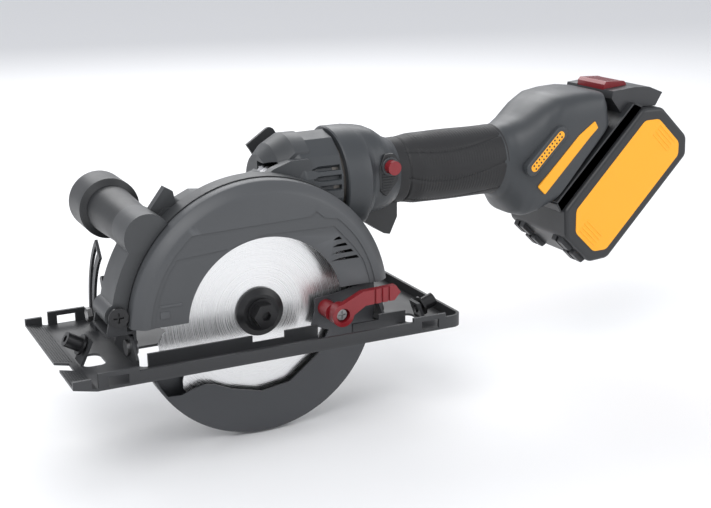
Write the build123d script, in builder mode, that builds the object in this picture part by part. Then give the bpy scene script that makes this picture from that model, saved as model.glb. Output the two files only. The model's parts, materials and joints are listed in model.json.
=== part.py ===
from build123d import *
import os
from math import atan2, cos, degrees, hypot, pi, radians, sin, sqrt, tan

# Circular saw, in millimetres.
# Origin: underside of the sole plate, mid width, below the blade arbor.
# +X points to the battery, +Y to the motor side, +Z up.

os.makedirs("parts", exist_ok=True)

# ---- driving dimensions ----
BLADE_R = 70.0
BLADE_Y = -25.0
ARBOR_Z = 19.5
MOTOR_Y = 16.0
MOTOR_Z = 92.0
LAY_X = 26.0
SOLE_HALF = 63.5
SOLE_T = 1.6
SOLE_FRONT = -131.0
SOLE_REAR = 130.0
BEVEL_Y = -25.0
BEVEL_Z = 9.5
DEPTH_X = -93.7
DEPTH_Z = 32.0
DEPTH_LOCK_R = 154.0
DEPTH_LOCK_X = 60.3
DEPTH_LOCK_Z = 28.0
DUST_X = -71.5
DUST_Z = 78.2
HOSE_R = 17.5
MODULE = 1.25
TEETH_LAY = 14
TEETH_IDLER = 46
TEETH_SPINDLE = 20
BEVEL_PINION = 10
BEVEL_GEAR = 25
BATTERY_TILT = 45.9


# ---- sketch planes ----
def facing(y):
    """Sketch in X and Z at a given Y; a positive extrude goes to -Y."""
    return Plane(origin=(0, y, 0), x_dir=(1, 0, 0), z_dir=(0, -1, 0))


def across(x):
    """Sketch in Y and Z at a given X; a positive extrude goes to +X."""
    return Plane(origin=(x, 0, 0), x_dir=(0, 1, 0), z_dir=(1, 0, 0))


def pack_plane(y):
    """Sketch along and across the tilted battery at a given Y."""
    turn = radians(BATTERY_TILT)
    return Plane(origin=(0, y, 0), x_dir=(cos(turn), 0, sin(turn)), z_dir=(0, -1, 0))


# ---- shape helpers ----
def prism(plane, points, length, corner=0.0):
    """Straight prism on a plane; corners may be rounded alike."""
    with BuildPart() as piece:
        with BuildSketch(plane) as face:
            with BuildLine():
                Polyline(*points, close=True)
            make_face()
            if corner > 0:
                fillet(face.vertices(), radius=corner)
        extrude(amount=length)
    return piece.part


def slab(points, y_near, y_far, corner=0.0):
    return prism(facing(y_far), points, y_far - y_near, corner)


def wall(points, x_low, x_high, corner=0.0):
    return prism(across(x_low), points, x_high - x_low, corner)


def deck(points, z_low, z_high, corner=0.0):
    return prism(Plane.XY.offset(z_low), points, z_high - z_low, corner)


def pack_slab(points, y_near, y_far, corner=0.0):
    return prism(pack_plane(y_far), points, y_far - y_near, corner)


def block(x0, x1, y0, y1, z0, z1):
    return deck([(x0, y0), (x1, y0), (x1, y1), (x0, y1)], z0, z1)


def rod(plane, radius, length):
    with BuildPart() as piece:
        with BuildSketch(plane):
            Circle(radius)
        extrude(amount=length)
    return piece.part


def rod_y(x, z, radius, y_near, y_far):
    plane = Plane(origin=(x, y_far, z), x_dir=(1, 0, 0), z_dir=(0, -1, 0))
    return rod(plane, radius, y_far - y_near)


def rod_x(y, z, radius, x_low, x_high):
    plane = Plane(origin=(x_low, y, z), x_dir=(0, 1, 0), z_dir=(1, 0, 0))
    return rod(plane, radius, x_high - x_low)


def tube(plane, outer, inner, length):
    with BuildPart() as piece:
        with BuildSketch(plane):
            Circle(outer)
            Circle(inner, mode=Mode.SUBTRACT)
        extrude(amount=length)
    return piece.part


def tube_y(x, z, outer, inner, y_near, y_far):
    plane = Plane(origin=(x, y_far, z), x_dir=(1, 0, 0), z_dir=(0, -1, 0))
    return tube(plane, outer, inner, y_far - y_near)


def tube_x(y, z, outer, inner, x_low, x_high):
    plane = Plane(origin=(x_low, y, z), x_dir=(0, 1, 0), z_dir=(1, 0, 0))
    return tube(plane, outer, inner, x_high - x_low)


def turned_y(x, z, profile):
    """Turned piece about an axis along Y; profile pairs are (radius, y)."""
    plane = Plane(origin=(x, 0, z), x_dir=(1, 0, 0), z_dir=(0, 0, 1))
    with BuildPart() as piece:
        with BuildSketch(plane):
            with BuildLine():
                Polyline(*profile, close=True)
            make_face()
        revolve(axis=Axis((x, 0, z), (0, 1, 0)))
    return piece.part


def turned_x(y, z, profile):
    """Turned piece about an axis along X; profile pairs are (x, radius)."""
    plane = Plane(origin=(0, y, z), x_dir=(1, 0, 0), z_dir=(0, -1, 0))
    with BuildPart() as piece:
        with BuildSketch(plane):
            with BuildLine():
                Polyline(*profile, close=True)
            make_face()
        revolve(axis=Axis((0, y, z), (1, 0, 0)))
    return piece.part


def polar(cx, cz, radius, angle):
    return (cx + radius * cos(radians(angle)), cz + radius * sin(radians(angle)))


def arc_band(plane, centre, r_in, r_out, a0, a1, length):
    """Curved band between two radii and two angles, extruded from a plane."""
    mid = (a0 + a1) / 2
    with BuildPart() as piece:
        with BuildSketch(plane):
            with BuildLine():
                low = ThreePointArc(
                    polar(centre[0], centre[1], r_in, a0),
                    polar(centre[0], centre[1], r_in, mid),
                    polar(centre[0], centre[1], r_in, a1),
                )
                high = ThreePointArc(
                    polar(centre[0], centre[1], r_out, a0),
                    polar(centre[0], centre[1], r_out, mid),
                    polar(centre[0], centre[1], r_out, a1),
                )
                Line(low @ 0, high @ 0)
                Line(low @ 1, high @ 1)
            make_face()
        extrude(amount=length)
    return piece.part


def band_y(cx, cz, r_in, r_out, a0, a1, y_near, y_far):
    return arc_band(facing(y_far), (cx, cz), r_in, r_out, a0, a1, y_far - y_near)


# ---- gears ----
def spur_points(teeth, phase, shrink=0.16):
    """Involute outline of one gear, a little thin for backlash."""
    pitch = MODULE * teeth / 2
    base = pitch * cos(radians(20))
    tip = pitch + 0.9 * MODULE
    root = pitch - 1.2 * MODULE
    half = pi / (2 * teeth) - shrink / (2 * pitch)
    inv_pitch = tan(radians(20)) - radians(20)
    points = []
    for tooth in range(teeth):
        centre = radians(phase) + tooth * 2 * pi / teeth
        flank = []
        start = max(base, root)
        for step in range(4):
            radius = start + (tip - start) * step / 3
            roll = sqrt(max((radius / base) ** 2 - 1, 0))
            inv = roll - atan2(roll, 1)
            flank.append((radius, half + inv_pitch - inv))
        if root < base:
            flank.insert(0, (root, flank[0][1]))
        for radius, angle in flank:
            points.append((radius * cos(centre - angle), radius * sin(centre - angle)))
        for radius, angle in reversed(flank):
            points.append((radius * cos(centre + angle), radius * sin(centre + angle)))
    return points


def spur_gear(x, z, teeth, phase, bore, y_near, y_far):
    points = []
    for px, pz in spur_points(teeth, phase):
        points.append((x + px, z + pz))
    with BuildPart() as gear:
        with BuildSketch(facing(y_far)):
            with BuildLine():
                Polyline(*points, close=True)
            make_face()
            with Locations((x, z)):
                Circle(bore, mode=Mode.SUBTRACT)
        extrude(amount=y_far - y_near)
    return gear.part


def next_phase(phase, teeth, direction, other_teeth):
    """Phase that lets the next gear mesh; direction is the line of centres."""
    return direction + 180 - (phase - direction) * teeth / other_teeth + 180 / other_teeth


def cone_tooth(apex, axis, side, cone_angle, length, width, height, depth):
    """One straight tooth of a bevel gear, tapering towards the apex."""
    along = axis * cos(radians(cone_angle)) + side * sin(radians(cone_angle))
    out = side * cos(radians(cone_angle)) - axis * sin(radians(cone_angle))
    cross = along.cross(out)
    with BuildPart() as tooth:
        for share in (1.0, 0.66):
            spot = apex + along * (length * share)
            plane = Plane(origin=spot, x_dir=cross, z_dir=along)
            flip = 1 if plane.y_dir.dot(out) > 0 else -1
            with BuildSketch(plane):
                with BuildLine():
                    Polyline(
                        (-0.70 * width * share, -flip * depth * share),
                        (0.70 * width * share, -flip * depth * share),
                        (0.27 * width * share, flip * height * share),
                        (-0.27 * width * share, flip * height * share),
                        close=True,
                    )
                make_face()
        loft(ruled=True)
    return tooth.part


def lay_direction(start, end):
    return degrees(atan2(end[1] - start[1], end[0] - start[0]))


# ---- places of the gear train ----
R_LAY = MODULE * TEETH_LAY / 2
R_IDLER = MODULE * TEETH_IDLER / 2
R_SPINDLE = MODULE * TEETH_SPINDLE / 2
LAY = (LAY_X, MOTOR_Z)
ARBOR = (0.0, ARBOR_Z)
span = hypot(LAY[0] - ARBOR[0], LAY[1] - ARBOR[1])
reach_low = R_SPINDLE + R_IDLER
reach_high = R_LAY + R_IDLER
part_way = (reach_low ** 2 - reach_high ** 2 + span ** 2) / (2 * span)
rise = sqrt(reach_low ** 2 - part_way ** 2)
ux = (LAY[0] - ARBOR[0]) / span
uz = (LAY[1] - ARBOR[1]) / span
IDLER = (ARBOR[0] + part_way * ux - rise * uz, ARBOR[1] + part_way * uz + rise * ux)
GEAR_NEAR = -6.5
GEAR_FAR = -0.8

# =====================================================================
# base: sole plate with its fixed pieces
# =====================================================================
with BuildPart() as sole_plate:
    with BuildSketch(Plane.XY):
        with Locations((7, 0)):
            Rectangle(246, 2 * SOLE_HALF)
    extrude(amount=8)
    rear_edges = sole_plate.edges().filter_by(Axis.Z).group_by(Axis.X)[-1]
    fillet(rear_edges, radius=8)
    with BuildSketch(Plane.XY.offset(SOLE_T)) as tray:
        with Locations((3, 0)):
            Rectangle(250, 2 * SOLE_HALF - 4)
        fillet(tray.vertices().group_by(Axis.X)[-1], radius=6)
    extrude(amount=10, mode=Mode.SUBTRACT)
    # front lip, bent up a little
    add(slab([(-115, 0), (-117, 0), (-131, 3), (-131, 4.6), (-117, 1.6), (-115, 1.6)], -63.5, 63.5))
    for side in (-1, 1):
        y_low = min(side * 63.5, side * 61.5)
        y_high = max(side * 63.5, side * 61.5)
        add(slab([(-131, 3), (-120, 0.7), (-120, 8), (-131, 8)], y_low, y_high))
        add(block(-116, -91, y_low, y_high, 7, 10.7))
        add(block(92.5, 116.5, y_low, y_high, 7, 10.7))
        add(block(-110, -97.6, y_low - 1, y_high + 1, 1.6, 7.6), mode=Mode.SUBTRACT)
        add(block(98.5, 111.3, y_low - 1, y_high + 1, 1.6, 7.6), mode=Mode.SUBTRACT)
    # sight notch and blade slot
    add(block(-132, -122, -30.8, -17.4, -1, 6), mode=Mode.SUBTRACT)
    slot = [(-85, -42), (81, -42), (81, -6), (-85, -6)]
    add(deck(slot, -1, 3, 5), mode=Mode.SUBTRACT)
    # holes the clamp tongues were bent out of
    add(deck([(-115, -26), (-100, -26), (-100, -4), (-115, -4)], -1, 3, 5), mode=Mode.SUBTRACT)
    add(deck([(98, -46), (109, -46), (109, -28), (98, -28)], -1, 3, 4), mode=Mode.SUBTRACT)
    # stiffening rib beside the slot, with reliefs for bolt and guard lever
    add(block(-80, 97, -43.7, -42, 0, 10))
    add(block(-12, 10, -44, -41.8, 5.5, 11), mode=Mode.SUBTRACT)
    add(block(50, 77, -44, -41.8, 6.4, 11), mode=Mode.SUBTRACT)
    add(deck([(34, -61), (93, -61), (93, -43.7), (34, -43.7)], -1, 3, 3), mode=Mode.SUBTRACT)
    add(block(33, 58, -45.5, -41.5, -1, 11), mode=Mode.SUBTRACT)
    # lugs of the bevel hinge
    front_lug = [(-42, 0), (-42, 6.5), (-35, 13.7), (-33, 15.6), (-30, 18.2), (-8, 18.2), (6, 3), (6, 0)]
    add(wall(front_lug, -86.7, -85))
    add(wall([(-40, 0), (-40, 8), (-32, 16), (-18, 16), (-10, 6), (-10, 0)], 82, 83.7))
    add(rod_x(BEVEL_Y, BEVEL_Z, 3.05, -88, -84), mode=Mode.SUBTRACT)
    add(rod_x(BEVEL_Y, BEVEL_Z, 3.05, 81, 85), mode=Mode.SUBTRACT)
    # tongues that carry the two fence clamp screws
    front_tongue = [(-116.6, 0.2), (-114.6, 0.2), (-107.2, 15.6), (-109.0, 16.7)]
    add(slab(front_tongue, -22, -8))
    rear_tongue = [(110.6, 0.2), (112.8, 0.2), (107.9, 13.3), (106.0, 12.6)]
    add(slab(rear_tongue, -44, -32))
sole_plate.part.label = "sole_plate"

front_clamp_axis = Vector(-0.86, 0, 0.51).normalized()
front_clamp_at = Vector(-110.9, -15, 11.0)
rear_clamp_axis = Vector(0.936, 0, 0.351).normalized()
rear_clamp_at = Vector(109.4, -38, 8.2)


def clamp_plane(at, axis, shift):
    return Plane(origin=at + axis * shift, x_dir=(0, 1, 0), z_dir=axis)


with BuildPart() as clamp_holes:
    add(rod(clamp_plane(front_clamp_at, front_clamp_axis, -6), 2.9, 12))
    add(rod(clamp_plane(rear_clamp_at, rear_clamp_axis, -6), 2.9, 12))
with BuildPart() as sole_with_holes:
    add(sole_plate.part)
    add(clamp_holes.part, mode=Mode.SUBTRACT)
sole_with_holes.part.label = "sole_plate"
export_step(sole_with_holes.part, "parts/sole_plate.step")


def clamp_screw(at, axis, head_length):
    """Socket-head clamp screw with a captive washer under its head."""
    with BuildPart() as screw:
        add(rod(clamp_plane(at, axis, -3.0), 2.5, 3.0 + 4.0))
        add(rod(clamp_plane(at, axis, 2.2), 6.6, 1.4))
        add(rod(clamp_plane(at, axis, 3.6), 4.6, head_length))
        with BuildSketch(clamp_plane(at, axis, 3.6 + head_length - 4)):
            RegularPolygon(2.4, 6)
        extrude(amount=5, mode=Mode.SUBTRACT)
    return screw.part


with BuildPart() as front_fence_screw:
    add(clamp_screw(front_clamp_at, front_clamp_axis, 10))
front_fence_screw.part.label = "front_fence_screw"
export_step(front_fence_screw.part, "parts/front_fence_screw.step")

with BuildPart() as rear_fence_screw:
    add(clamp_screw(rear_clamp_at, rear_clamp_axis, 9))
rear_fence_screw.part.label = "rear_fence_screw"
export_step(rear_fence_screw.part, "parts/rear_fence_screw.step")

with BuildPart() as bevel_quadrant:
    add(arc_band(across(-91), (BEVEL_Y, BEVEL_Z), 61, 74.2, -4.5, 51.0, 1.8))
    add(arc_band(across(-92), (BEVEL_Y, BEVEL_Z), 66, 71, -1.0, 49.0, 4), mode=Mode.SUBTRACT)
    add(block(-91, -78, 36, 50, SOLE_T, 3.4))
    add(block(-91, -89.2, 36, 50, SOLE_T, 6))
bevel_quadrant.part.label = "bevel_quadrant"
export_step(bevel_quadrant.part, "parts/bevel_quadrant.step")

with BuildPart() as bevel_rivets:
    add(rod_x(BEVEL_Y, BEVEL_Z, 3.0, -88, -82.7))
    add(rod_x(BEVEL_Y, BEVEL_Z, 5.0, -88.4, -86.7))
    add(rod_x(BEVEL_Y, BEVEL_Z, 5.0, -82.7, -81.4))
    add(rod_x(BEVEL_Y, BEVEL_Z, 3.0, 81, 86.8))
    add(rod_x(BEVEL_Y, BEVEL_Z, 5.0, 80.4, 82))
    add(rod_x(BEVEL_Y, BEVEL_Z, 5.0, 86.8, 88.2))
bevel_rivets.part.label = "bevel_rivets"
export_step(bevel_rivets.part, "parts/bevel_rivets.step")

# =====================================================================
# tilt frame: carries the saw head, swings about the bevel axis
# =====================================================================
BOLT_Y, BOLT_Z = polar(BEVEL_Y, BEVEL_Z, 68.5, 1.5)

with BuildPart() as front_bracket:
    add(rod_x(BEVEL_Y, BEVEL_Z, 7.5, -84.7, -82.9))
    leaf = [(-25, 4.5), (50, 4.5), (50, 16), (-0.7, 22), (-31.8, 22), (-31.8, 13)]
    add(wall(leaf, -84.7, -82.9))
    add(block(-101.5, -82.9, -31.8, -0.7, 20.2, 22))
    for y_near, y_far in ((-31.8, -30), (-2.5, -0.7)):
        add(slab([(-101.2, 21), (-88.6, 21), (-88.4, 31), (-99.0, 31)], y_near, y_far))
        add(rod_y(DEPTH_X, DEPTH_Z, 5.7, y_near, y_far))
    add(rod_x(BEVEL_Y, BEVEL_Z, 3.05, -86, -81), mode=Mode.SUBTRACT)
    add(rod_x(BOLT_Y, BOLT_Z, 2.4, -86, -81), mode=Mode.SUBTRACT)
    add(rod_y(DEPTH_X, DEPTH_Z, 3.05, -33, 0), mode=Mode.SUBTRACT)
front_bracket.part.label = "front_bracket"
export_step(front_bracket.part, "parts/front_bracket.step")

with BuildPart() as rear_bracket:
    add(rod_x(BEVEL_Y, BEVEL_Z, 7.5, 84.5, 86.5))
    add(wall([(-25, 4.5), (53, 4.5), (53, 16), (-25, 16)], 84.5, 86.5))
    add(rod_x(BEVEL_Y, BEVEL_Z, 3.05, 84, 87), mode=Mode.SUBTRACT)
rear_bracket.part.label = "rear_bracket"
export_step(rear_bracket.part, "parts/rear_bracket.step")

with BuildPart() as depth_quadrant:
    add(band_y(DEPTH_X, DEPTH_Z, 143, 165, -9, 34, 50.5, 53))
    add(slab([(50, 4.5), (84.4, 4.5), (84.4, 16), (52, 20)], 50.5, 53))
    add(band_y(DEPTH_X, DEPTH_Z, 151.2, 156.8, -3.2, 31.6, 50, 54), mode=Mode.SUBTRACT)
    top_edges = depth_quadrant.edges().filter_by(Axis.Y).group_by(Axis.Z)[-1]
    fillet(top_edges, radius=4)
depth_quadrant.part.label = "depth_quadrant"
export_step(depth_quadrant.part, "parts/depth_quadrant.step")

with BuildPart() as bevel_lock_bolt:
    add(rod_x(BOLT_Y, BOLT_Z, 2.3, -91.4, -72.5))
    with BuildSketch(Plane(origin=(-94.6, BOLT_Y, BOLT_Z), x_dir=(0, 1, 0), z_dir=(1, 0, 0))):
        RegularPolygon(5, 6)
    extrude(amount=3.2)
bevel_lock_bolt.part.label = "bevel_lock_bolt"
export_step(bevel_lock_bolt.part, "parts/bevel_lock_bolt.step")

with BuildPart() as depth_pivot_screw:
    add(rod_y(DEPTH_X, DEPTH_Z, 3.0, -31.8, 0.2))
    add(rod_y(DEPTH_X, DEPTH_Z, 6.2, -33.9, -31.8))
    add(rod_y(DEPTH_X, DEPTH_Z, 5.0, 0.2, 2.6))
    add(rod_y(DEPTH_X, DEPTH_Z, 5.0, -0.7, 0.2))
    with Locations((DEPTH_X, -33.4, DEPTH_Z)):
        Box(6.4, 1.4, 1.3, mode=Mode.SUBTRACT)
        Box(1.3, 1.4, 6.4, mode=Mode.SUBTRACT)
depth_pivot_screw.part.label = "depth_pivot_screw"
export_step(depth_pivot_screw.part, "parts/depth_pivot_screw.step")

with BuildPart() as bevel_lock_lever:
    add(rod_x(BOLT_Y, BOLT_Z, 7, -82.4, -73))
    add(wall([(44, 15), (50, 8), (60, 30), (55, 33)], -80, -74, 1.5))
    add(rod_x(BOLT_Y, BOLT_Z, 2.36, -83, -72), mode=Mode.SUBTRACT)
bevel_lock_lever.part.label = "bevel_lock_lever"
export_step(bevel_lock_lever.part, "parts/bevel_lock_lever.step")

# =====================================================================
# saw head: guard, gear case, motor housing, handle
# =====================================================================
guard_cut = [(-120, -100), (-120, 24.2), (38, 24.2), (50, 32), (120, 32), (120, -100)]

with BuildPart() as guard_body:
    # dust duct that is also the arm to the depth hinge
    add(band_y(0, ARBOR_Z, 84, 98, 138, 171, -29.5, -3))
    add(rod_y(DUST_X, DUST_Z, 14.8, -29.5, -3))
    add(rod_y(DEPTH_X, DEPTH_Z, 7.5, -29.5, -3))
    add(slab([(-97, 30), (-86, 30), (-85, 44), (-94, 47)], -29.5, -3))
    add(rod_y(0, ARBOR_Z, 88.3, -30, -14), mode=Mode.SUBTRACT)
    # cavity of the duct and bore for the dust adapter
    add(band_y(0, ARBOR_Z, 90, 95.8, 141, 162, -27, -6), mode=Mode.SUBTRACT)
    add(rod_y(DUST_X, DUST_Z, 12.0, -24, -2), mode=Mode.SUBTRACT)
    add(rod_y(0, ARBOR_Z, 87.9, -30, -14), mode=Mode.SUBTRACT)
    # rim and back wall of the upper guard
    add(turned_y(0, ARBOR_Z, [(88.4, -27), (88.4, -14), (24, -14), (24, -16), (85.5, -16), (85.5, -27)]))
    add(band_y(0, ARBOR_Z, 84, 91, 143, 156, -24, -16.2), mode=Mode.SUBTRACT)
    add(slab(guard_cut, -31, -13.9), mode=Mode.SUBTRACT)
    # relief beside the motor housing and its collar
    add(rod_x(MOTOR_Y, MOTOR_Z, 33.2, 43, 65), mode=Mode.SUBTRACT)
    add(rod_x(MOTOR_Y, MOTOR_Z, 35.3, 65, 98), mode=Mode.SUBTRACT)
    # the arm keeps its foot at the hinge
    add(band_y(0, ARBOR_Z, 88.5, 98, 160, 171, -29.5, -3))
    add(rod_y(DEPTH_X, DEPTH_Z, 7.5, -29.5, -3))
    add(rod_y(0, ARBOR_Z, 88.3, -30, -27.1), mode=Mode.SUBTRACT)
    add(rod_y(DEPTH_X, DEPTH_Z, 3.06, -30, -2), mode=Mode.SUBTRACT)
    # locating fin on the rim
    add(slab([(-64.0, 91.0), (-57.5, 84.5), (-47.3, 93.0), (-49.0, 101.0), (-54.0, 104.0)], -12, -6))
    add(slab([(-64.0, 83.0), (-50.0, 80.0), (-44.0, 91.0), (-56.0, 91.0)], -14, -6))
    add(rod_y(DUST_X, DUST_Z, 12.0, -24, -2), mode=Mode.SUBTRACT)
    for angle in (14, 32, 175):
        bx, bz = polar(0, ARBOR_Z, 83.6, angle)
        add(rod_y(bx, bz, 2.6, -27, -15))
        add(rod_y(bx, bz, 1.3, -28, -13), mode=Mode.SUBTRACT)
    for mx, mz in ((-20, 52), (30, 60), (8, 88)):
        add(rod_y(mx, mz, 2.1, -17, -13), mode=Mode.SUBTRACT)
guard_body.part.label = "guard_body"
export_step(guard_body.part, "parts/guard_body.step")

with BuildPart() as guard_cover:
    add(
        turned_y(
            0,
            ARBOR_Z,
            [
                (88, -27.2),
                (88, -36),
                (81, -42),
                (52.5, -42),
                (52.5, -40),
                (80, -40),
                (86, -35),
                (86, -27.2),
            ],
        )
    )
    add(slab(guard_cut, -43, -27), mode=Mode.SUBTRACT)
    for row in range(4):
        x = 50.5 + 4.1 * row
        low = 52.0
        high = 71.5 - 4.6 * row
        if high - low > 3:
            add(block(x, x + 1.8, -43, -39, low, high), mode=Mode.SUBTRACT)
    for angle in (14, 32, 175):
        bx, bz = polar(0, ARBOR_Z, 83.6, angle)
        add(rod_y(bx, bz, 2.5, -36.5, -27.1))
        add(rod_y(bx, bz, 1.3, -34, -27), mode=Mode.SUBTRACT)
guard_cover.part.label = "guard_cover"
export_step(guard_cover.part, "parts/guard_cover.step")

with BuildPart() as guard_cover_screws:
    for angle in (14, 32, 175):
        bx, bz = polar(0, ARBOR_Z, 83.6, angle)
        add(rod_y(bx, bz, 1.25, -33, -14))
        add(rod_y(bx, bz, 2.8, -14, -12.2))
guard_cover_screws.part.label = "guard_cover_screws"
export_step(guard_cover_screws.part, "parts/guard_cover_screws.step")

with BuildPart() as guard_mount_screws:
    for mx, mz in ((-20, 52), (30, 60), (8, 88)):
        add(rod_y(mx, mz, 2.0, -16, -9.5))
        add(rod_y(mx, mz, 3.6, -17.8, -16))
guard_mount_screws.part.label = "guard_mount_screws"
export_step(guard_mount_screws.part, "parts/guard_mount_screws.step")

# ---- gear case ----
case_line = [
    (-12, 3.4),
    (12, 3.4),
    (19.5, 12),
    (40, 48),
    (44, 66),
    (44, 100),
    (44, 112),
    (30, 112),
    (18, 108),
    (11, 103.5),
    (-23.7, 95.7),
    (-32.4, 96.6),
    (-42.6, 91.9),
    (-43, 80),
    (-30, 46),
    (-19.5, 12),
]

with BuildPart() as gear_case_cover:
    add(slab(case_line, -13.6, -7, 2))
    add(rod_y(0, ARBOR_Z, 16, -19.6, -13.6))
    add(rod_y(0, ARBOR_Z, 10.2, -20, -6), mode=Mode.SUBTRACT)
    add(rod_y(0, ARBOR_Z, 14.0, -13.4, -6), mode=Mode.SUBTRACT)
    add(rod_y(LAY[0], LAY[1], 8.0, -12.2, -6), mode=Mode.SUBTRACT)
    add(rod_y(IDLER[0], IDLER[1], 4.0, -12.2, -6), mode=Mode.SUBTRACT)
    for mx, mz in ((-20, 52), (30, 60), (8, 88)):
        add(rod_y(mx, mz, 2.0, -14, -9.4), mode=Mode.SUBTRACT)
gear_case_cover.part.label = "gear_case_cover"
export_step(gear_case_cover.part, "parts/gear_case_cover.step")

with BuildPart() as gear_housing:
    add(slab(case_line, -7, 9, 2))
    add(turned_x(MOTOR_Y, MOTOR_Z, [(18, 0), (18, 20), (25, 27), (36, 33), (46, 33), (46, 0)]))
    # lug that carries the depth lock
    add(slab([(26, 74), (43, 74), (66, 34), (66, 22), (55, 22), (30, 58)], 42, 50, 1.5))
    add(block(28, 43, 5, 48, 60, 80))
    # remove what would stand in front of the case joint
    add(block(-60, 60, -40, -7, -10, 140), mode=Mode.SUBTRACT)
    # gear chambers
    add(rod_y(IDLER[0], IDLER[1], R_IDLER + 2.4, -7, 0.4), mode=Mode.SUBTRACT)
    add(rod_y(0, ARBOR_Z, 14.1, -7, 0.4), mode=Mode.SUBTRACT)
    add(rod_y(LAY[0], LAY[1], 18.2, -7, 15), mode=Mode.SUBTRACT)
    add(rod_x(MOTOR_Y, MOTOR_Z, 10.5, 28, 47), mode=Mode.SUBTRACT)
    add(rod_x(MOTOR_Y, MOTOR_Z, 27, 44, 47), mode=Mode.SUBTRACT)
    add(rod_y(0, ARBOR_Z, 9.0, 0, 7), mode=Mode.SUBTRACT)
    add(rod_y(IDLER[0], IDLER[1], 4.0, 0, 6.5), mode=Mode.SUBTRACT)
    add(rod_y(LAY[0], LAY[1], 7.0, 14, 27), mode=Mode.SUBTRACT)
    add(rod_y(DEPTH_LOCK_X, DEPTH_LOCK_Z, 2.5, 40, 52), mode=Mode.SUBTRACT)
gear_housing.part.label = "gear_housing"
export_step(gear_housing.part, "parts/gear_housing.step")


def bearing(plane, outer, bore, width):
    """Sealed ball bearing as outer ring, shield and inner ring in one."""
    with BuildPart() as piece:
        with BuildSketch(plane):
            Circle(outer)
            Circle(bore, mode=Mode.SUBTRACT)
        extrude(amount=width)
        shield_in = bore + (outer - bore) * 0.3
        shield_out = bore + (outer - bore) * 0.7
        with BuildSketch(plane):
            Circle(shield_out)
            Circle(shield_in, mode=Mode.SUBTRACT)
        extrude(amount=0.4, mode=Mode.SUBTRACT)
    return piece.part


def y_plane(x, y, z):
    return Plane(origin=(x, y, z), x_dir=(1, 0, 0), z_dir=(0, -1, 0))


with BuildPart() as spindle_bearings:
    add(bearing(y_plane(0, -7.2, ARBOR_Z), 13.95, 7.05, 6))
    add(bearing(y_plane(0, 6.8, ARBOR_Z), 8.95, 4.55, 5))
spindle_bearings.part.label = "spindle_bearings"
export_step(spindle_bearings.part, "parts/spindle_bearings.step")

with BuildPart() as layshaft_bearings:
    add(bearing(y_plane(LAY[0], -7.4, LAY[1]), 7.95, 4.05, 4.6))
    add(bearing(y_plane(LAY[0], 26.5, LAY[1]), 6.95, 4.05, 6))
layshaft_bearings.part.label = "layshaft_bearings"
export_step(layshaft_bearings.part, "parts/layshaft_bearings.step")

with BuildPart() as idler_pin:
    add(rod_y(IDLER[0], IDLER[1], 3.98, -12, 6.3))
idler_pin.part.label = "idler_pin"
export_step(idler_pin.part, "parts/idler_pin.step")

# ---- motor housing ----
with BuildPart() as motor_housing:
    add(tube_x(MOTOR_Y, MOTOR_Z, 32.7, 29.6, 46, 91.4))
    add(tube_x(MOTOR_Y, MOTOR_Z, 30, 8.1, 46, 48.5))
    for angle in (128, 148, 168, 12, 32, 52):
        cy, cz = polar(MOTOR_Y, MOTOR_Z, 31, angle)
        add(block(52, 62, cy - 4, cy + 4, cz - 1.4, cz + 1.4), mode=Mode.SUBTRACT)
motor_housing.part.label = "motor_housing"
export_step(motor_housing.part, "parts/motor_housing.step")

with BuildPart() as motor_bearings:
    with BuildSketch(Plane(origin=(46.1, MOTOR_Y, MOTOR_Z), x_dir=(0, 1, 0), z_dir=(1, 0, 0))):
        Circle(8.0)
        Circle(4.05, mode=Mode.SUBTRACT)
    extrude(amount=4)
    with BuildSketch(Plane(origin=(104, MOTOR_Y, MOTOR_Z), x_dir=(0, 1, 0), z_dir=(1, 0, 0))):
        Circle(7.0)
        Circle(3.05, mode=Mode.SUBTRACT)
    extrude(amount=4)
motor_bearings.part.label = "motor_bearings"
export_step(motor_bearings.part, "parts/motor_bearings.step")

with BuildPart() as stator:
    add(tube_x(MOTOR_Y, MOTOR_Z, 29.4, 23.5, 60, 90))
    for count in range(6):
        angle = 60 * count
        with BuildSketch(Plane(origin=(62, MOTOR_Y, MOTOR_Z), x_dir=(0, 1, 0), z_dir=(1, 0, 0))):
            with Locations(Rotation(0, 0, angle)):
                with Locations((20.2, 0)):
                    Rectangle(8.4, 8)
        extrude(amount=26)
stator.part.label = "stator"
export_step(stator.part, "parts/stator.step")

# ---- handle halves ----
handle_line = [
    (66, 32.8),
    (66, 34.8),
    (95, 34.8),
    (100.4, 31),
    (106.5, 26),
    (113, 23.6),
    (204, 23.6),
    (204, 20.8),
    (113, 20.8),
    (104, 23.2),
    (97, 29),
    (97, 32.8),
]
foot_line = [
    (197, 66),
    (211.5, 49.5),
    (223, 52),
    (232.6, 59.8),
    (283.9, 115.5),
    (276.3, 131.3),
    (279, 137.9),
    (243, 137),
    (230, 131),
    (216.4, 121),
    (200, 115.4),
]
foot_hollow = [
    (203, 72),
    (212, 60),
    (222, 60),
    (279, 121),
    (274, 133),
    (246, 132),
    (233, 127),
    (220, 117),
    (203, 111),
]

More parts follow.
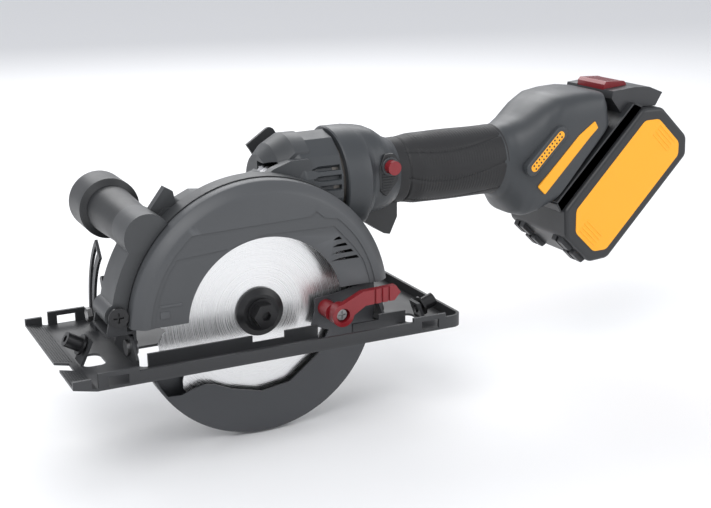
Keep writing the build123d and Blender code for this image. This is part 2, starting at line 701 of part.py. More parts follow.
with BuildPart() as handle_shell:
    add(turned_x(MOTOR_Y, MOTOR_Z, handle_line))
    add(slab(foot_line, MOTOR_Y - 32.5, MOTOR_Y + 32.5))
    add(rod_x(MOTOR_Y, MOTOR_Z, 20.8, 190, 206), mode=Mode.SUBTRACT)
    add(slab(foot_hollow, MOTOR_Y - 29.5, MOTOR_Y + 29.5), mode=Mode.SUBTRACT)
    # mouth for the battery rails
    add(pack_slab([(208, -130), (300, -130), (300, -110), (208, -110)], -8, 40), mode=Mode.SUBTRACT)
    # rear motor bearing seat
    add(tube_x(MOTOR_Y, MOTOR_Z, 24.5, 7.05, 104, 108))
    # trigger opening and button bore
    add(block(91.5, 119.5, 7.5, 24.5, 55, 84), mode=Mode.SUBTRACT)
    add(rod_y(102, 101, 4.8, -22, 2), mode=Mode.SUBTRACT)
    # vent windows in the foot sides
    vent = [(208, 90), (214, 86), (238, 110), (232, 114)]
    add(slab(vent, -18, 50), mode=Mode.SUBTRACT)

with BuildPart() as handle_half_near:
    add(handle_shell.part)
    add(block(0, 400, MOTOR_Y, 200, 0, 300), mode=Mode.SUBTRACT)
handle_half_near.part.label = "handle_half_near"
export_step(handle_half_near.part, "parts/handle_half_near.step")

with BuildPart() as handle_half_far:
    add(handle_shell.part)
    add(block(0, 400, -200, MOTOR_Y, 0, 300), mode=Mode.SUBTRACT)
handle_half_far.part.label = "handle_half_far"
export_step(handle_half_far.part, "parts/handle_half_far.step")

with BuildPart() as rubber_grip:
    grip_line = [(124, 23.6), (128, 25), (194, 25), (197, 24.2), (197, 23.6)]
    add(turned_x(MOTOR_Y, MOTOR_Z, grip_line))
rubber_grip.part.label = "rubber_grip"
export_step(rubber_grip.part, "parts/rubber_grip.step")

with BuildPart() as foot_vents:
    for y_near, y_far in ((-16.2, -13.8), (45.8, 48.2)):
        add(slab([(208.2, 90), (214, 86.2), (237.8, 110), (232, 113.8)], y_near, y_far))
        for step in range(4):
            x = 213 + 6 * step
            z = 89.6 + 6 * step
            add(rod_y(x, z, 1.5, y_near - 1, y_far + 1), mode=Mode.SUBTRACT)
foot_vents.part.label = "foot_vents"
export_step(foot_vents.part, "parts/foot_vents.step")

with BuildPart() as accent_strips:
    stripe = [(218.7, 74.6), (223.4, 69.8), (268.4, 114.6), (265.9, 118.8)]
    for y_near, y_far in ((-17.1, -16.5), (48.5, 49.1)):
        add(slab(stripe, y_near, y_far))
accent_strips.part.label = "accent_strips"
export_step(accent_strips.part, "parts/accent_strips.step")

with BuildPart() as switch_body:
    add(block(111, 123, 9, 23, 82.5, 96))
switch_body.part.label = "switch_body"
export_step(switch_body.part, "parts/switch_body.step")

with BuildPart() as control_board:
    add(block(126, 184, 1, 31, 84, 85.6))
    add(block(132, 150, 5, 27, 85.6, 93))
    add(block(156, 166, 8, 18, 85.6, 97))
control_board.part.label = "control_board"
export_step(control_board.part, "parts/control_board.step")

with BuildPart() as terminal_block:
    add(pack_slab([(212, -107.5), (270, -107.5), (270, -103), (212, -103)], -2, 34))
    for y in (0, 9, 21, 30):
        add(pack_slab([(225, -120), (260, -120), (260, -107.5), (225, -107.5)], y, y + 1.2))
terminal_block.part.label = "terminal_block"
export_step(terminal_block.part, "parts/terminal_block.step")

# =====================================================================
# moving pieces of the head
# =====================================================================
with BuildPart() as depth_lock_bolt:
    add(rod_y(DEPTH_LOCK_X, DEPTH_LOCK_Z, 2.45, 39.4, 64))
    with BuildSketch(y_plane(DEPTH_LOCK_X, 42, DEPTH_LOCK_Z)):
        RegularPolygon(5, 6)
    extrude(amount=3.4)
depth_lock_bolt.part.label = "depth_lock_bolt"
export_step(depth_lock_bolt.part, "parts/depth_lock_bolt.step")

with BuildPart() as depth_lock_lever:
    add(rod_y(DEPTH_LOCK_X, DEPTH_LOCK_Z, 7.5, 53.5, 63))
    add(slab([(57, 22), (64, 24), (94, 44), (90, 50), (60, 35)], 55, 61, 1.5))
    add(rod_y(DEPTH_LOCK_X, DEPTH_LOCK_Z, 2.52, 53, 64), mode=Mode.SUBTRACT)
depth_lock_lever.part.label = "depth_lock_lever"
export_step(depth_lock_lever.part, "parts/depth_lock_lever.step")

# ---- rotor ----
with BuildPart() as rotor_shaft:
    add(rod_x(MOTOR_Y, MOTOR_Z, 4.0, 42.3, 98))
    add(rod_x(MOTOR_Y, MOTOR_Z, 3.0, 98, 110))
rotor_shaft.part.label = "rotor_shaft"
export_step(rotor_shaft.part, "parts/rotor_shaft.step")

with BuildPart() as rotor_core:
    add(tube_x(MOTOR_Y, MOTOR_Z, 15.4, 4.0, 60, 90))
rotor_core.part.label = "rotor_core"
export_step(rotor_core.part, "parts/rotor_core.step")

with BuildPart() as cooling_fan:
    add(tube_x(MOTOR_Y, MOTOR_Z, 7, 4.0, 52, 57.5))
    add(tube_x(MOTOR_Y, MOTOR_Z, 26, 7, 52, 53.2))
    for count in range(9):
        angle = 40 * count
        with BuildSketch(Plane(origin=(53.2, MOTOR_Y, MOTOR_Z), x_dir=(0, 1, 0), z_dir=(1, 0, 0))):
            with Locations(Rotation(0, 0, angle)):
                with Locations((16.2, 0)):
                    Rectangle(19, 1.2)
        extrude(amount=4.3)
cooling_fan.part.label = "cooling_fan"
export_step(cooling_fan.part, "parts/cooling_fan.step")

apex = Vector(LAY_X, MOTOR_Y, MOTOR_Z)
r_pin = MODULE * BEVEL_PINION / 2
r_gear = MODULE * BEVEL_GEAR / 2
cone_len = hypot(r_pin, r_gear)
pin_angle = degrees(atan2(r_pin, r_gear))
tooth_w = pi * MODULE * 0.40


def around_x(angle):
    return Vector(0, -cos(radians(angle)), sin(radians(angle)))


def around_y(angle):
    return Vector(cos(radians(angle)), 0, sin(radians(angle)))


with BuildPart() as bevel_pinion:
    pin_body = [
        (LAY_X + r_gear * 0.66, 0),
        (LAY_X + r_gear * 0.66, 0.66 * (r_pin - 1.4)),
        (LAY_X + r_gear - 0.1, r_pin - 1.4),
        (LAY_X + r_gear + 2.4, r_pin - 1.0),
        (LAY_X + r_gear + 2.4, 4.0),
        (LAY_X + r_gear + 0.6, 4.0),
        (LAY_X + r_gear + 0.6, 0),
    ]
    add(turned_x(MOTOR_Y, MOTOR_Z, pin_body))
    for count in range(BEVEL_PINION):
        side = around_x(count * 360 / BEVEL_PINION)
        add(cone_tooth(apex, Vector(1, 0, 0), side, pin_angle, cone_len, tooth_w, 0.95, 1.6))
bevel_pinion.part.label = "bevel_pinion"
export_step(bevel_pinion.part, "parts/bevel_pinion.step")

# ---- layshaft ----
lay_phase = lay_direction(LAY, IDLER)
idler_phase = next_phase(lay_phase, TEETH_LAY, lay_phase, TEETH_IDLER)
down = lay_direction(IDLER, ARBOR)
spindle_phase = next_phase(idler_phase, TEETH_IDLER, down, TEETH_SPINDLE)

with BuildPart() as layshaft:
    add(rod_y(LAY[0], LAY[1], 4.0, -12, 26))
layshaft.part.label = "layshaft"
export_step(layshaft.part, "parts/layshaft.step")

with BuildPart() as layshaft_pinion:
    add(spur_gear(LAY[0], LAY[1], TEETH_LAY, lay_phase, 4.0, GEAR_NEAR, GEAR_FAR))
layshaft_pinion.part.label = "layshaft_pinion"
export_step(layshaft_pinion.part, "parts/layshaft_pinion.step")

with BuildPart() as bevel_gear:
    back = MOTOR_Y - r_pin
    gear_body = [
        (4.0, back - 7.0),
        (9.0, back - 7.0),
        (r_gear - 1.0, back - 3.4),
        (r_gear + 0.35, back - 1.25),
        (0.66 * r_gear, MOTOR_Y - 0.66 * r_pin - 1.3),
        (4.0, MOTOR_Y - 0.66 * r_pin - 1.3),
    ]
    add(turned_y(LAY[0], LAY[1], gear_body))
    for count in range(BEVEL_GEAR):
        side = around_y((count + 0.5) * 360 / BEVEL_GEAR)
        add(cone_tooth(apex, Vector(0, -1, 0), side, 90 - pin_angle, cone_len, tooth_w, 0.95, 1.5))
bevel_gear.part.label = "bevel_gear"
export_step(bevel_gear.part, "parts/bevel_gear.step")

with BuildPart() as idler_gear:
    add(spur_gear(IDLER[0], IDLER[1], TEETH_IDLER, idler_phase, 4.04, GEAR_NEAR, GEAR_FAR))
    for count in range(6):
        hx, hz = polar(IDLER[0], IDLER[1], 16.5, 60 * count)
        add(rod_y(hx, hz, 5, -8, 1), mode=Mode.SUBTRACT)
idler_gear.part.label = "idler_gear"
export_step(idler_gear.part, "parts/idler_gear.step")

# ---- spindle and blade ----
with BuildPart() as spindle:
    add(rod_y(0, ARBOR_Z, 7.0, -21, 0.6))
    add(rod_y(0, ARBOR_Z, 4.5, 0.6, 6.6))
    add(rod_y(0, ARBOR_Z, 10.0, -28.2, -21))
    add(rod_y(0, ARBOR_Z, 3.1, -29, -12), mode=Mode.SUBTRACT)
spindle.part.label = "spindle"
export_step(spindle.part, "parts/spindle.step")

with BuildPart() as spindle_gear:
    add(spur_gear(0, ARBOR_Z, TEETH_SPINDLE, spindle_phase, 7.0, GEAR_NEAR, GEAR_FAR))
spindle_gear.part.label = "spindle_gear"
export_step(spindle_gear.part, "parts/spindle_gear.step")

with BuildPart() as inner_flange:
    add(tube_y(0, ARBOR_Z, 15.5, 10.0, -24.4, -21.2))
inner_flange.part.label = "inner_flange"
export_step(inner_flange.part, "parts/inner_flange.step")

with BuildPart() as outer_flange:
    flange_rim = [(10.0, -25.6), (16, -25.6), (16, -27.4), (12, -29.6)]
    flange_hub = [(3.2, -29.6), (3.2, -28.2), (10.0, -28.2)]
    add(turned_y(0, ARBOR_Z, flange_rim + flange_hub))
outer_flange.part.label = "outer_flange"
export_step(outer_flange.part, "parts/outer_flange.step")

TEETH_BLADE = 24
with BuildPart() as saw_blade:
    blade_points = []
    for tooth in range(TEETH_BLADE):
        start = tooth * 360 / TEETH_BLADE
        blade_points.append(polar(0, ARBOR_Z, 69.4, start))
        blade_points.append(polar(0, ARBOR_Z, 66.0, start + 0.4))
        blade_points.append(polar(0, ARBOR_Z, 63.2, start + 2.2))
        blade_points.append(polar(0, ARBOR_Z, 63.0, start + 3.9))
        blade_points.append(polar(0, ARBOR_Z, 65.2, start + 5.6))
        blade_points.append(polar(0, ARBOR_Z, 68.6, start + 9.5))
    with BuildSketch(facing(BLADE_Y + 0.6)):
        with BuildLine():
            Polyline(*blade_points, close=True)
        make_face()
        with Locations((0, ARBOR_Z)):
            Circle(10.0, mode=Mode.SUBTRACT)
    extrude(amount=1.2)
    # carbide tips, a little wider than the plate
    for tooth in range(TEETH_BLADE):
        start = tooth * 360 / TEETH_BLADE
        tip = [
            polar(0, ARBOR_Z, 70.0, start),
            polar(0, ARBOR_Z, 65.8, start + 0.5),
            polar(0, ARBOR_Z, 65.8, start - 1.3),
            polar(0, ARBOR_Z, 69.5, start - 2.0),
        ]
        add(slab(tip, BLADE_Y - 0.9, BLADE_Y + 0.9))
saw_blade.part.label = "saw_blade"
export_step(saw_blade.part, "parts/saw_blade.step")

with BuildPart() as blade_bolt:
    add(rod_y(0, ARBOR_Z, 3.05, -31, -13))
    add(rod_y(0, ARBOR_Z, 9.5, -31.4, -29.6))
    with BuildSketch(y_plane(0, -31.4, ARBOR_Z)):
        RegularPolygon(8.2, 6)
    extrude(amount=7)
    with BuildSketch(y_plane(0, -35.4, ARBOR_Z)):
        RegularPolygon(3.2, 6)
    extrude(amount=4, mode=Mode.SUBTRACT)
blade_bolt.part.label = "blade_bolt"
export_step(blade_bolt.part, "parts/blade_bolt.step")

# ---- lower guard ----
with BuildPart() as lower_guard:
    add(band_y(0, ARBOR_Z, 79, 80.5, 205, 370, -31, -19))
    add(band_y(0, ARBOR_Z, 62, 80.2, 205, 370, -20.5, -19))
    near_wall = []
    inner_edge = ((214, 80.1), (219, 72.4), (222, 64.0), (225.5, 57.8))
    inner_edge = inner_edge + ((232, 54.0), (245, 52.6), (268, 53.0))
    for angle, radius in inner_edge + ((290, 53.3), (319, 51.8), (345, 51.5), (366, 51.5)):
        near_wall.append(polar(0, ARBOR_Z, radius, angle))
    for angle in range(368, 213, -6):
        near_wall.append(polar(0, ARBOR_Z, 80.1, angle))
    add(slab(near_wall, -31, -29.5))
    # arms of the far side to the hub
    add(band_y(0, ARBOR_Z, 18, 62, 280, 300, -20.5, -19))
    add(band_y(0, ARBOR_Z, 18, 62, 340, 362, -20.5, -19))
    add(tube_y(0, ARBOR_Z, 20.5, 16.06, -20.6, -17.0))
    # tab of the near side for the lever
    add(band_y(0, ARBOR_Z, 37, 60, 338, 366, -31, -29.5))
    add(rod_y(44.5, 16.5, 2.0, -33, -28), mode=Mode.SUBTRACT)
lower_guard.part.label = "lower_guard"
export_step(lower_guard.part, "parts/lower_guard.step")

with BuildPart() as guard_lever:
    add(rod_y(44.5, 16.5, 5.6, -43, -31))
    add(rod_y(48.0, 16.0, 7.5, -51, -43))
    lever_arm = [(45, 22.4), (52, 13.0), (64, 20.4), (85, 21.0), (89.6, 26.0), (86, 31.0), (62, 30.0)]
    add(slab(lever_arm, -51, -46.4))
    add(rod_y(44.5, 16.5, 1.9, -44, -29), mode=Mode.SUBTRACT)
    add(rod_y(48.0, 16.0, 4.7, -52, -46.5), mode=Mode.SUBTRACT)
    for x in (70, 75, 80):
        add(block(x, x + 1.6, -52, -50, 19, 33), mode=Mode.SUBTRACT)
guard_lever.part.label = "guard_lever"
export_step(guard_lever.part, "parts/guard_lever.step")

with BuildPart() as guard_lever_screw:
    add(rod_y(44.5, 16.5, 1.85, -43.5, -29.4))
    add(rod_y(44.5, 16.5, 3.2, -29.4, -28.2))
    add(rod_y(48.0, 16.0, 3.6, -48.4, -46.5))
    add(block(45.5, 50.5, -48.8, -47.6, 15.5, 16.5), mode=Mode.SUBTRACT)
    add(block(47.5, 48.5, -48.8, -47.6, 13.5, 18.5), mode=Mode.SUBTRACT)
guard_lever_screw.part.label = "guard_lever_screw"
export_step(guard_lever_screw.part, "parts/guard_lever_screw.step")

with BuildPart() as guard_spring:
    for y in (-16.3, -15.0):
        with BuildSketch(Plane(origin=(18.6, y, ARBOR_Z), x_dir=(1, 0, 0), z_dir=(0, 0, 1))):
            Circle(0.55)
        revolve(axis=Axis((0, 0, ARBOR_Z), (0, 1, 0)))
    add(rod_y(18.6, ARBOR_Z, 0.5, -16.3, -15.0))
guard_spring.part.label = "guard_spring"
export_step(guard_spring.part, "parts/guard_spring.step")

# ---- trigger and lock-off button ----
with BuildPart() as trigger:
    pad = [(92.5, 62.2), (93, 59.2), (108.1, 49.1), (112.8, 48), (118.5, 60), (118.5, 76), (92.5, 76)]
    add(slab(pad, 8.0, 24.0, 0.8))
trigger.part.label = "trigger"
export_step(trigger.part, "parts/trigger.step")

with BuildPart() as lock_off_button:
    add(rod_y(102, 101, 4.72, -20, -4))
lock_off_button.part.label = "lock_off_button"
export_step(lock_off_button.part, "parts/lock_off_button.step")

# ---- battery ----
with BuildPart() as battery_case:
    case = [
        (207, -134),
        (302, -134),
        (314, -146.4),
        (314, -180),
        (304, -190.5),
        (205.4, -190.5),
        (193.2, -179.5),
        (193.2, -149.4),
    ]
    hollow = [
        (209, -137),
        (301, -137),
        (311, -147.5),
        (311, -179),
        (303, -187.5),
        (207, -187.5),
        (196.2, -178.5),
        (196.2, -150.4),
    ]
    add(pack_slab(case, -21, 53))
    add(pack_slab(hollow, -18, 50), mode=Mode.SUBTRACT)
battery_case.part.label = "battery_case"
export_step(battery_case.part, "parts/battery_case.step")

with BuildPart() as battery_top:
    add(pack_slab([(206, -134), (303, -134), (300, -126.0), (208, -126.0)], -17, 49))
    nose_outer = [(290, -128), (303, -134), (314, -146.4), (325, -144.0)]
    nose_inner = [(320, -132), (311, -121.6), (296.6, -109), (292, -112)]
    add(pack_slab(nose_outer + nose_inner, -12, 44))
    add(block(284.6, 306, -0.5, 32.5, 132, 150), mode=Mode.SUBTRACT)
    # rails and contact slots inside the foot
    add(pack_slab([(214, -126), (280, -126), (280, -113), (214, -113)], -3, 35))
    for y in (0, 9, 21, 30):
        contact_slot = [(212, -125), (282, -125), (282, -108), (212, -108)]
        add(pack_slab(contact_slot, y - 0.8, y + 2.0), mode=Mode.SUBTRACT)
battery_top.part.label = "battery_top"
export_step(battery_top.part, "parts/battery_top.step")

with BuildPart() as battery_labels:
    label = [
        (214, -142),
        (296, -142),
        (305, -151),
        (305, -176),
        (298, -182.5),
        (210, -182.5),
        (202, -175),
        (202, -154),
    ]
    for y_near, y_far in ((-21.5, -21), (53, 53.5)):
        add(pack_slab(label, y_near, y_far, 2))
battery_labels.part.label = "battery_labels"
export_step(battery_labels.part, "parts/battery_labels.step")

with BuildPart() as battery_cells:
    for row in range(2):
        for count in range(5):
            plane = pack_plane(48)
            u = 214.5 + count * 19.2 + (0 if row == 0 else 0)
            v = -149.5 - 24 * row
            centre = plane.from_local_coords((u, v, 0))
            add(rod_y(centre.X, centre.Z, 9.2, -16.5, 48.5))
battery_cells.part.label = "battery_cells"
export_step(battery_cells.part, "parts/battery_cells.step")

with BuildPart() as battery_latch:
    latch_rear = [(285.4, 135.4), (305.4, 135.4), (305.4, 139.4)]
    latch_top = [(303.6, 141.8), (287.4, 142.4), (285.4, 140.2)]
    add(slab(latch_rear + latch_top, 0, 32, 0.6))
    for x in (289, 292.4, 295.8, 299.2, 302.6):
        add(block(x, x + 1.5, 3, 29, 141.0, 144), mode=Mode.SUBTRACT)
battery_latch.part.label = "battery_latch"
export_step(battery_latch.part, "parts/battery_latch.step")

# ---- dust adapter ----
with BuildPart() as dust_adapter:
    add(
        turned_y(
            DUST_X,
            DUST_Z,
            [
                (11.94, -20),
                (11.94, -2.6),
                (13.6, -2.6),
                (16.0, 52),
                (20.2, 54),
                (20.2, 82),
                (HOSE_R, 82),
                (HOSE_R, 57),
                (13.6, 52),
                (10.2, -3),
                (10.2, -20),
            ],
        )
    )
dust_adapter.part.label = "dust_adapter"
export_step(dust_adapter.part, "parts/dust_adapter.step")
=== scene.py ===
import bmesh
import bpy
import json
from math import atan2, cos, degrees, pi, radians, sin
from mathutils import Matrix, Vector


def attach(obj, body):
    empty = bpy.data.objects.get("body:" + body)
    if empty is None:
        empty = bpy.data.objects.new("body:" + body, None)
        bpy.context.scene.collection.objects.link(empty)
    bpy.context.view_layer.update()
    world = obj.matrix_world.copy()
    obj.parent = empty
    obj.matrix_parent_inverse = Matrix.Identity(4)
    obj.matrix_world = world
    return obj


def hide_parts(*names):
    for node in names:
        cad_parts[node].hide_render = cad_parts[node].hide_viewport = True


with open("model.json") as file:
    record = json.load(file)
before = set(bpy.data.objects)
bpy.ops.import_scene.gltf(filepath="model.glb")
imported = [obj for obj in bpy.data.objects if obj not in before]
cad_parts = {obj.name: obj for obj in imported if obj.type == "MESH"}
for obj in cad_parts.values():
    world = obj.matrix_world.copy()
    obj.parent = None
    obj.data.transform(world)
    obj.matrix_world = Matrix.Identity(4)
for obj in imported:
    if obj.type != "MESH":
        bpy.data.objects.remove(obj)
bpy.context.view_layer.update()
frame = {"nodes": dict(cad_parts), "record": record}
MM = 0.001
# blade axis, X and Z in millimetres
ARBOR = (0.0, 19.5)
# slope of the battery against the sole
TILT = radians(45.9)
# middle of the handle and motor in Y, and the heights of their axes
MIDDLE_Y = 16.0
MOTOR_Z = 92.0
GRIP_Z = 91.5


# ---------------------------------------------------------------- materials
RINGS_SCALE = 2400.0


def material(
    name, base, rough, metal=0.0, grain=2600.0, bump=0.10, mottle=0.06, edge_highlight=0.25, coat=0.0, deep=0.00006
):
    """Moulded or painted surface: fine grain in the bump, soft roughness change, and convex edges lightened
    as a painted highlight.
    """
    mat = bpy.data.materials.new(name)
    mat.use_nodes = True
    tree = mat.node_tree
    shader = tree.nodes["Principled BSDF"]
    place = tree.nodes.new("ShaderNodeTexCoord")
    fine = tree.nodes.new("ShaderNodeTexNoise")
    fine.inputs["Scale"].default_value = grain
    fine.inputs["Detail"].default_value = 3.0
    tree.links.new(place.outputs["Object"], fine.inputs["Vector"])
    broad = tree.nodes.new("ShaderNodeTexNoise")
    broad.inputs["Scale"].default_value = 38.0
    broad.inputs["Detail"].default_value = 5.0
    tree.links.new(place.outputs["Object"], broad.inputs["Vector"])
    relief = tree.nodes.new("ShaderNodeBump")
    relief.inputs["Strength"].default_value = bump
    relief.inputs["Distance"].default_value = deep
    tree.links.new(fine.outputs["Fac"], relief.inputs["Height"])
    tree.links.new(relief.outputs["Normal"], shader.inputs["Normal"])
    spread = tree.nodes.new("ShaderNodeMapRange")
    spread.inputs["From Min"].default_value = 0.3
    spread.inputs["From Max"].default_value = 0.7
    spread.inputs["To Min"].default_value = max(rough - mottle, 0.05)
    spread.inputs["To Max"].default_value = min(rough + mottle, 1.0)
    tree.links.new(broad.outputs["Fac"], spread.inputs["Value"])
    tree.links.new(spread.outputs["Result"], shader.inputs["Roughness"])
    # painted highlight: convex edges, found by pointiness, are mixed towards a lighter copy of the base
    # colour
    shape = tree.nodes.new("ShaderNodeNewGeometry")
    edge = tree.nodes.new("ShaderNodeMapRange")
    edge.inputs["From Min"].default_value = 0.52
    edge.inputs["From Max"].default_value = 0.62
    tree.links.new(shape.outputs["Pointiness"], edge.inputs["Value"])
    amount = tree.nodes.new("ShaderNodeMath")
    amount.operation = "MULTIPLY"
    amount.inputs[1].default_value = edge_highlight
    tree.links.new(edge.outputs["Result"], amount.inputs[0])
    colour = tree.nodes.new("ShaderNodeMix")
    colour.data_type = "RGBA"
    colour.inputs[6].default_value = (base[0], base[1], base[2], 1)
    lighter = [min(c * 1.9 + 0.02, 1.0) for c in base]
    colour.inputs[7].default_value = (lighter[0], lighter[1], lighter[2], 1)
    tree.links.new(amount.outputs[0], colour.inputs[0])
    tree.links.new(colour.outputs[2], shader.inputs["Base Color"])
    shader.inputs["Metallic"].default_value = metal
    shader.inputs["Coat Weight"].default_value = coat
    return mat


def turned_metal(name, base, rough, centre):
    """Metal ground in circles about an axis along Y."""
    mat = material(name, base, rough, metal=1.0, edge_highlight=0.1, bump=0.05)
    tree = mat.node_tree
    shader = tree.nodes["Principled BSDF"]
    place = tree.nodes.new("ShaderNodeTexCoord")
    shift = tree.nodes.new("ShaderNodeVectorMath")
    shift.operation = "SUBTRACT"
    shift.inputs[1].default_value = (centre[0] * MM, 0, centre[1] * MM)
    tree.links.new(place.outputs["Object"], shift.inputs[0])
    flat = tree.nodes.new("ShaderNodeVectorMath")
    flat.operation = "MULTIPLY"
    flat.inputs[1].default_value = (1, 0, 1)
    tree.links.new(shift.outputs[0], flat.inputs[0])
    length = tree.nodes.new("ShaderNodeVectorMath")
    length.operation = "LENGTH"
    tree.links.new(flat.outputs[0], length.inputs[0])
    rings_noise = tree.nodes.new("ShaderNodeTexNoise")
    rings_noise.noise_dimensions = "1D"
    rings_noise.inputs["Scale"].default_value = RINGS_SCALE
    rings_noise.inputs["Detail"].default_value = 4.0
    tree.links.new(length.outputs["Value"], rings_noise.inputs["W"])
    relief = tree.nodes.new("ShaderNodeBump")
    relief.inputs["Strength"].default_value = 0.35
    relief.inputs["Distance"].default_value = 0.00003
    tree.links.new(rings_noise.outputs["Fac"], relief.inputs["Height"])
    tree.links.new(relief.outputs["Normal"], shader.inputs["Normal"])
    streak = tree.nodes.new("ShaderNodeMapRange")
    streak.inputs["From Min"].default_value = 0.35
    streak.inputs["From Max"].default_value = 0.65
    streak.inputs["To Min"].default_value = 0.16
    streak.inputs["To Max"].default_value = 0.46
    tree.links.new(rings_noise.outputs["Fac"], streak.inputs["Value"])
    tree.links.new(streak.outputs["Result"], shader.inputs["Roughness"])
    shader.inputs["Anisotropic"].default_value = 0.6
    around = tree.nodes.new("ShaderNodeTangent")
    around.direction_type = "RADIAL"
    around.axis = "Y"
    tree.links.new(around.outputs["Tangent"], shader.inputs["Tangent"])
    return mat


LOOK = {
    "plated_steel": material("dark plated sheet", (0.030, 0.031, 0.033), 0.46, 0.2, 1500, 0.12),
    "zinc_steel": material("zinc screw steel", (0.24, 0.24, 0.24), 0.34, 0.9, 1800, 0.1),
    "black_steel": material("black oxide steel", (0.010, 0.010, 0.011), 0.34, 0.2, 1800, 0.1),
    "arm_plastic": material("arm moulding", (0.034, 0.036, 0.038), 0.46),
    "grey_cover": material("guard cover moulding", (0.062, 0.065, 0.069), 0.46, 0.0, 2600, 0.12, edge_highlight=0.3),
    "dark_casting": material("painted casting", (0.034, 0.037, 0.040), 0.46, 0.0, 1800, 0.16),
    "bearing_steel": material("ground steel", (0.42, 0.42, 0.43), 0.28, 1.0),
    "housing_plastic": material("housing moulding", (0.038, 0.042, 0.046), 0.44),
    "lamination": material("laminated iron", (0.12, 0.11, 0.10), 0.5, 0.8),
    "grip_rubber": material("grip rubber", (0.011, 0.011, 0.012), 0.58, 0.0, 1500, 0.5, deep=0.00014),
    "yellow_plastic": material("yellow moulding", (0.95, 0.40, 0.012), 0.40, 0.0, 2600, 0.1, edge_highlight=0.1),
    "black_plastic": material("black moulding", (0.014, 0.015, 0.016), 0.42),
    "board_green": material("circuit board", (0.02, 0.10, 0.04), 0.4),
    "blade_steel": turned_metal("circle ground blade steel", (0.80, 0.80, 0.80), 0.30, ARBOR),
    "lower_guard_metal": material("lower guard casting", (0.042, 0.044, 0.048), 0.42, 0.2, 1700, 0.12),
    "red_plastic": material("red moulding", (0.19, 0.006, 0.011), 0.34, coat=0.15, edge_highlight=0.15),
    "battery_plastic": material("battery moulding", (0.020, 0.021, 0.023), 0.42),
    "cell_wrap": material("cell wrap", (0.05, 0.15, 0.30), 0.4),
}
SLOT_OF = {item["node"]: item["material_slot"] for item in frame["record"]["subparts"]}

EDGE = {
    "guard_cover": 0.9,
    "guard_body": 1.2,
    "gear_housing": 1.6,
    "motor_housing": 0.5,
    "guard_lever": 0.9,
    "trigger": 1.2,
    "battery_latch": 0.8,
    "battery_top": 1.0,
    "sole_plate": 0.25,
    "depth_lock_lever": 0.8,
    "bevel_lock_lever": 0.8,
    "lock_off_button": 0.5,
    "dust_adapter": 0.5,
}


def soften(obj, width, segments=3, angle=30):
    bev = obj.modifiers.new("edge", "BEVEL")
    bev.width = width * MM
    bev.segments = segments
    bev.limit_method = "ANGLE"
    bev.angle_limit = radians(angle)
    bev.use_clamp_overlap = True
    bev.harden_normals = False


def shade(obj, angle=35):
    for poly in obj.data.polygons:
        poly.use_smooth = True
    obj.data.set_sharp_from_angle(angle=radians(angle))


def put(obj, look):
    obj.data.materials.clear()
    obj.data.materials.append(look)


for node, obj in frame["nodes"].items():
    put(obj, LOOK[SLOT_OF[node]])
    soften(obj, EDGE.get(node, 0.3), 2)


# ---------------------------------------------------------------- mesh helpers
def bare_mesh(name, points, faces):
    """Object from points in millimetres, with its faces turned outwards; it belongs to no body yet."""
    mesh = bpy.data.meshes.new(name)
    mesh.from_pydata([(p[0] * MM, p[1] * MM, p[2] * MM) for p in points], [], faces)
    mesh.validate()
    obj = bpy.data.objects.new(name, mesh)
    bpy.context.scene.collection.objects.link(obj)
    bm = bmesh.new()
    bm.from_mesh(mesh)
    bmesh.ops.recalc_face_normals(bm, faces=bm.faces)
    bm.to_mesh(mesh)
    bm.free()
    return obj


def build(name, points, faces, look, body, smooth=40):
    obj = bare_mesh(name, points, faces)
    shade(obj, smooth)
    put(obj, look)
    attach(obj, body)
    return obj


def prism_parts(outline, y0, y1):
    """Points and faces of an outline in X and Z, carried from y0 to y1."""
    count = len(outline)
    points = [(x, y0, z) for x, z in outline] + [(x, y1, z) for x, z in outline]
    faces = [list(range(count)), list(range(2 * count - 1, count - 1, -1))]
    for i in range(count):
        j = (i + 1) % count
        faces.append([i, j, count + j, count + i])
    return points, faces


def prism(name, outline, span, slot, body, edge=0.4, segments=3):
    """Prism with rounded edges, span being its two Y values, in the look of a record slot."""
    points, faces = prism_parts(outline, span[0], span[1])
    obj = build(name, points, faces, LOOK[slot], body, 30)
    if edge > 0:
        soften(obj, edge, segments, 25)
    return obj


def pack_xz(u, n):
    return (u * cos(TILT) + n * sin(TILT), u * sin(TILT) - n * cos(TILT))


def rounded(outline, radius, steps=5):
    """Outline with its corners rounded."""
    out = []
    count = len(outline)
    for i in range(count):
        p0 = Vector(outline[i - 1])
        p1 = Vector(outline[i])
        p2 = Vector(outline[(i + 1) % count])
        a = p0 - p1
        b = p2 - p1
        cut = min(radius, a.length * 0.45, b.length * 0.45)
        s = p1 + a.normalized() * cut
        e = p1 + b.normalized() * cut
        for k in range(steps + 1):
            t = k / steps
            q = s * (1 - t) ** 2 + p1 * 2 * t * (1 - t) + e * t ** 2
            out.append((q.x, q.y))
    return out


def skin(name, rings, look, body, smooth=50):
    """Capped surface through rings of points; each ring has the same count."""
    points = []
    for ring in rings:
        points.extend(ring)
    count = len(rings[0])
    faces = []
    for r in range(len(rings) - 1):
        for i in range(count):
            j = (i + 1) % count
            faces.append([r * count + i, r * count + j, (r + 1) * count + j, (r + 1) * count + i])
    faces.append(list(range(count)))
    faces.append(list(range((len(rings) - 1) * count, len(rings) * count))[::-1])
    return build(name, points, faces, look, body, smooth)


def smoothstep(a, b, t):
    x = min(max((t - a) / (b - a), 0.0), 1.0)
    return x * x * (3 - 2 * x)


def table_value(pairs, t):
    """Smooth value from (position, value) pairs."""
    if t <= pairs[0][0]:
        return pairs[0][1]
    for k in range(len(pairs) - 1):
        if t <= pairs[k + 1][0]:
            s = smoothstep(pairs[k][0], pairs[k + 1][0], t)
            return pairs[k][1] * (1 - s) + pairs[k + 1][1] * s
    return pairs[-1][1]


